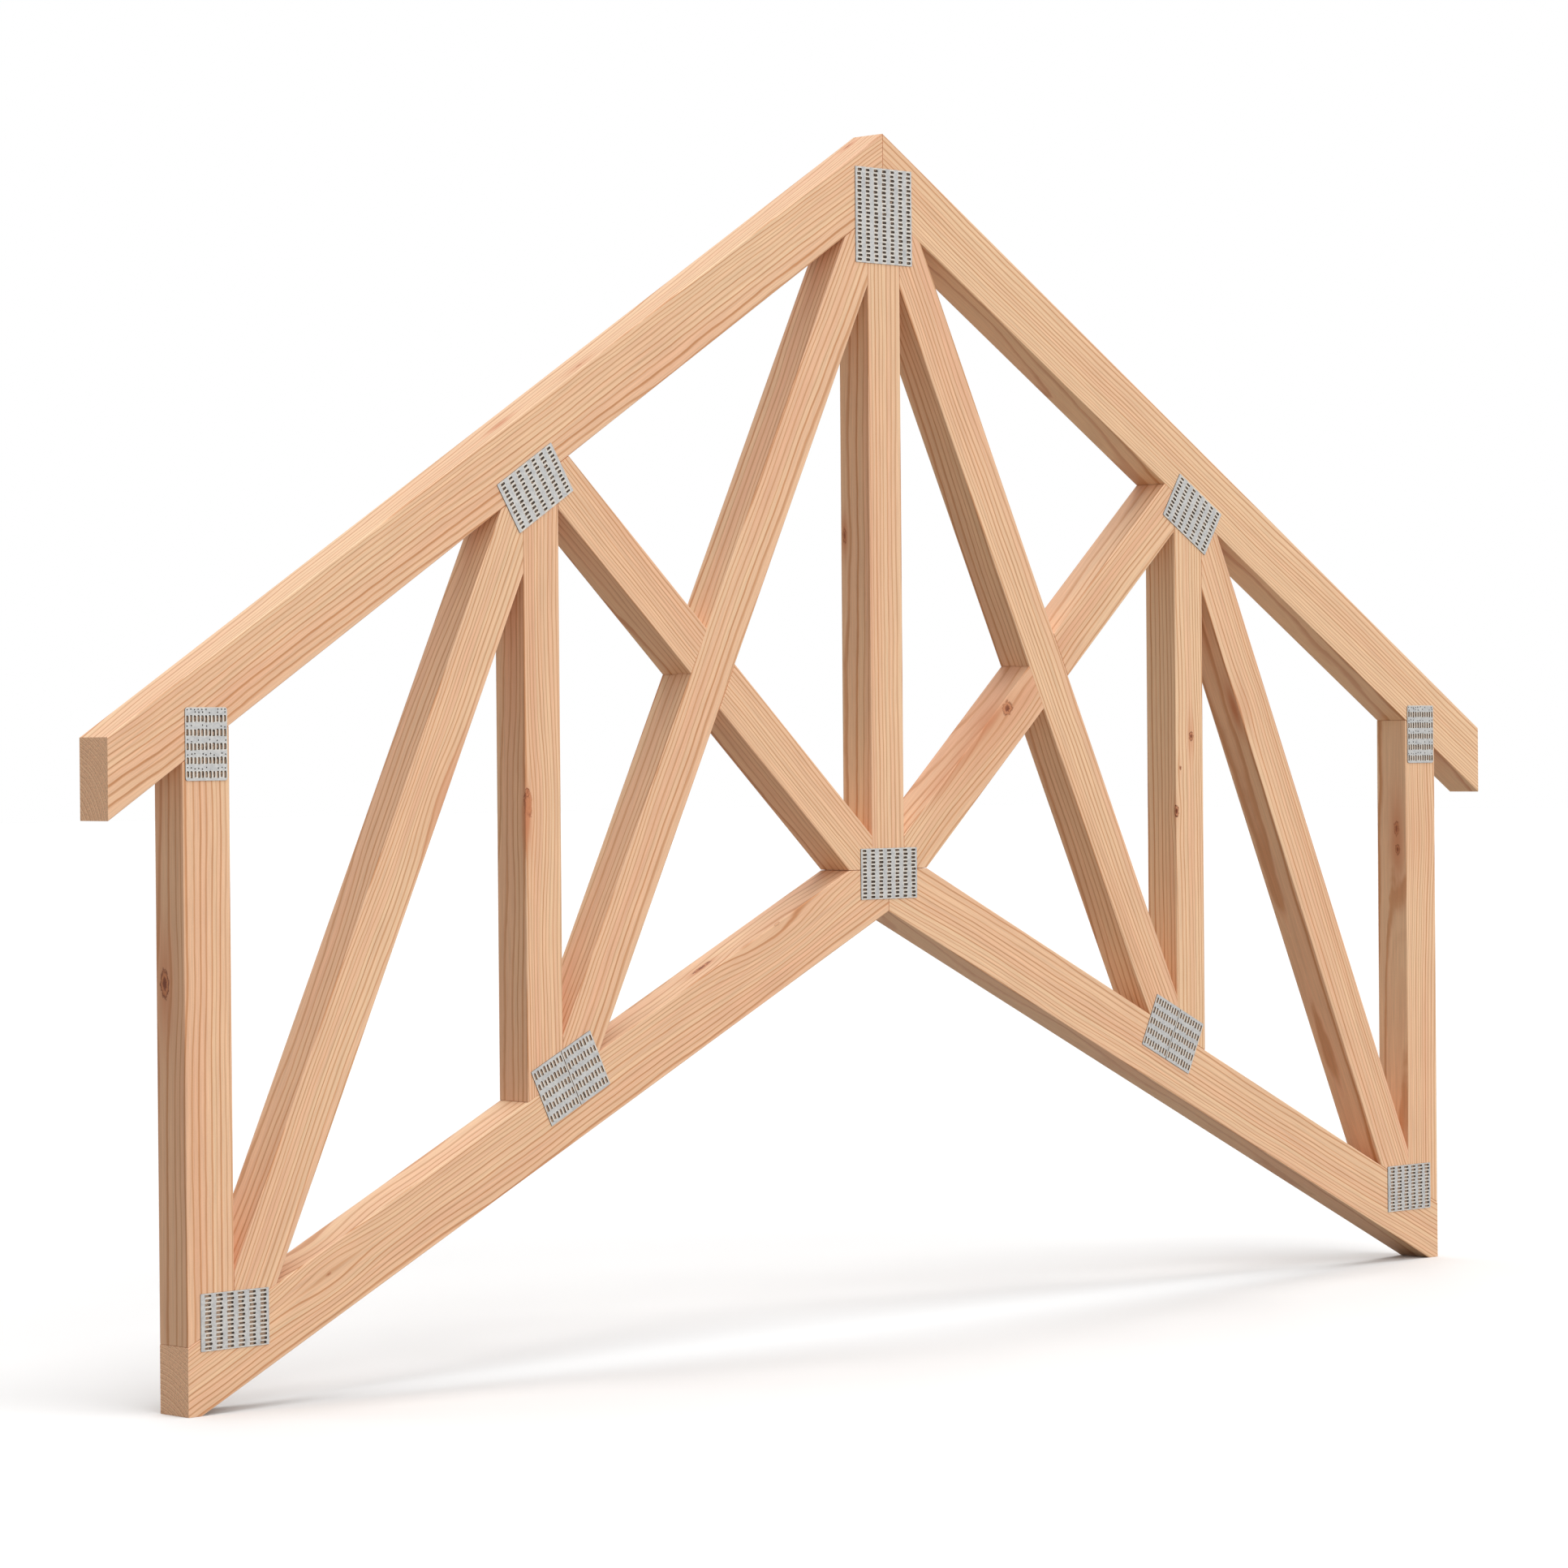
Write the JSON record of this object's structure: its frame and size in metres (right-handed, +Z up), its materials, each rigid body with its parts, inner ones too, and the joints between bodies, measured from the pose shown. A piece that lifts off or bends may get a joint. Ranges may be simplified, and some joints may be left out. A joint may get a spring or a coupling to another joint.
{
  "type": "wooden roof truss",
  "caption": "Scissor roof truss of sawn softwood with posts and crossed diagonal webs, joined by punched galvanised nail plates on both faces.",
  "frame": {"origin": "on the floor under the peak, at mid-span and mid-thickness", "axes": "+X along the span, +Y through the thickness away from the front face, +Z up"},
  "size_m": [2.794, 0.0624, 1.743],
  "materials": {
    "timber": "sawn and planed pale softwood",
    "nail_plate": "dull galvanised sheet"
  },
  "bodies": {
    "root": {"bottom_chord_left": "timber", "bottom_chord_right": "timber", "centre_plate_back": "nail_plate", "centre_plate_front": "nail_plate", "eave_plate_left_back": "nail_plate", "eave_plate_left_front": "nail_plate", "eave_plate_right_back": "nail_plate", "eave_plate_right_front": "nail_plate", "end_post_left": "timber", "end_post_right": "timber", "heel_plate_left_back": "nail_plate", "heel_plate_left_front": "nail_plate", "heel_plate_right_back": "nail_plate", "heel_plate_right_front": "nail_plate", "inner_twin_plate_left_back": "nail_plate", "inner_twin_plate_left_front": "nail_plate", "inner_twin_plate_right_back": "nail_plate", "inner_twin_plate_right_front": "nail_plate", "king_post": "timber", "long_diagonal_left": "timber", "long_diagonal_right": "timber", "outer_diagonal_left": "timber", "outer_diagonal_right": "timber", "outer_twin_plate_left_back": "nail_plate", "outer_twin_plate_left_front": "nail_plate", "outer_twin_plate_right_back": "nail_plate", "outer_twin_plate_right_front": "nail_plate", "peak_plate_back": "nail_plate", "peak_plate_front": "nail_plate", "quarter_plate_left_back": "nail_plate", "quarter_plate_left_front": "nail_plate", "quarter_plate_right_back": "nail_plate", "quarter_plate_right_front": "nail_plate", "quarter_post_left": "timber", "quarter_post_right": "timber", "short_diagonal_left": "timber", "short_diagonal_right": "timber", "top_chord_left": "timber", "top_chord_right": "timber"}
  },
  "joints": []
}
